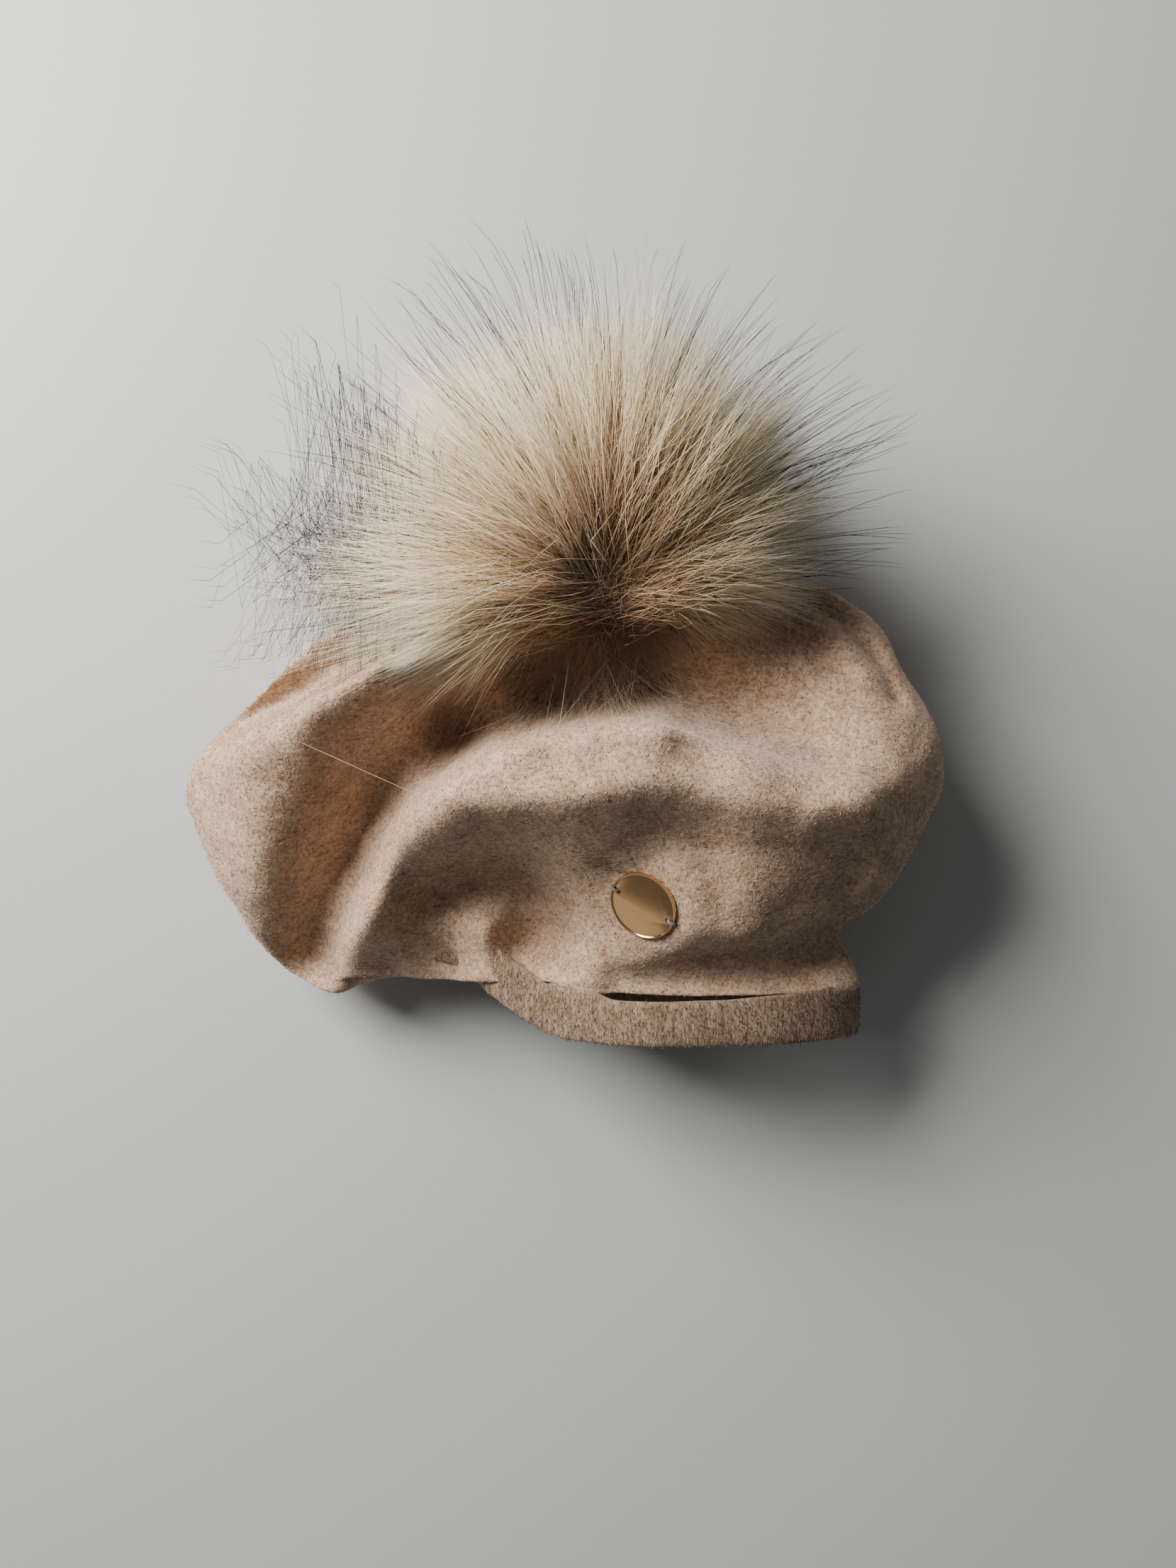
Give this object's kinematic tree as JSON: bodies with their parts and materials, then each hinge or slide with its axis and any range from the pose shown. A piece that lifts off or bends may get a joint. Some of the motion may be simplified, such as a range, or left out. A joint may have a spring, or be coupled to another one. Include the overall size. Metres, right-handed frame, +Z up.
{
  "type": "felt beret with a fur pompom and a metal badge",
  "caption": "Soft felt beret lying on its back, with a deep-folded crown, a headband, a fur pompom and a round metal badge.",
  "frame": {"origin": "on the ground under the middle of the crown, on the flat of its back", "axes": "+Z up, away from the ground it lies on; -Y out of the opening for the head; +X to the right seen from above with the opening at the bottom"},
  "size_m": [0.2851, 0.2781, 0.1489],
  "materials": {
    "felt": "heathered beige wool felt with a short matt nap",
    "band_felt": "the same wool felt, thicker, with fine upright ribs",
    "fur": "long soft fur, cream and tan with dark tips",
    "badge_metal": "polished, rose gold colour"
  },
  "bodies": {
    "root": {"crown": "felt", "headband": "band_felt", "pompom": "fur", "badge": "badge_metal"}
  },
  "joints": []
}
